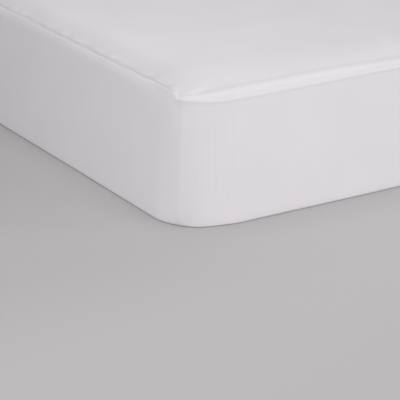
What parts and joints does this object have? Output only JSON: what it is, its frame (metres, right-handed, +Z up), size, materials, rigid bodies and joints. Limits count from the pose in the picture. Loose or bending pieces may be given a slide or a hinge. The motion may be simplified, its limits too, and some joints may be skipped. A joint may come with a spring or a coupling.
{
  "type": "fitted mattress protector on a mattress",
  "caption": "Smooth white fitted cloth cover stretched over a low rectangular mattress, with a raised seam band round its top edge and a hem turned under it.",
  "frame": {"origin": "on the surface that the mattress lies on, under the middle of the covered mattress", "axes": "+Z up, +Y along the mattress, +X across it; the corner in the picture is the one at -X -Y"},
  "size_m": [0.9032, 1.9062, 0.2012],
  "materials": {
    "panel_cloth": "matt white stretch cloth",
    "skirt_cloth": "smooth white stretch jersey",
    "mattress_ticking": "plain off-white woven ticking"
  },
  "bodies": {
    "root": {"top_panel": "panel_cloth", "skirt": "skirt_cloth", "mattress": "mattress_ticking"}
  },
  "joints": []
}
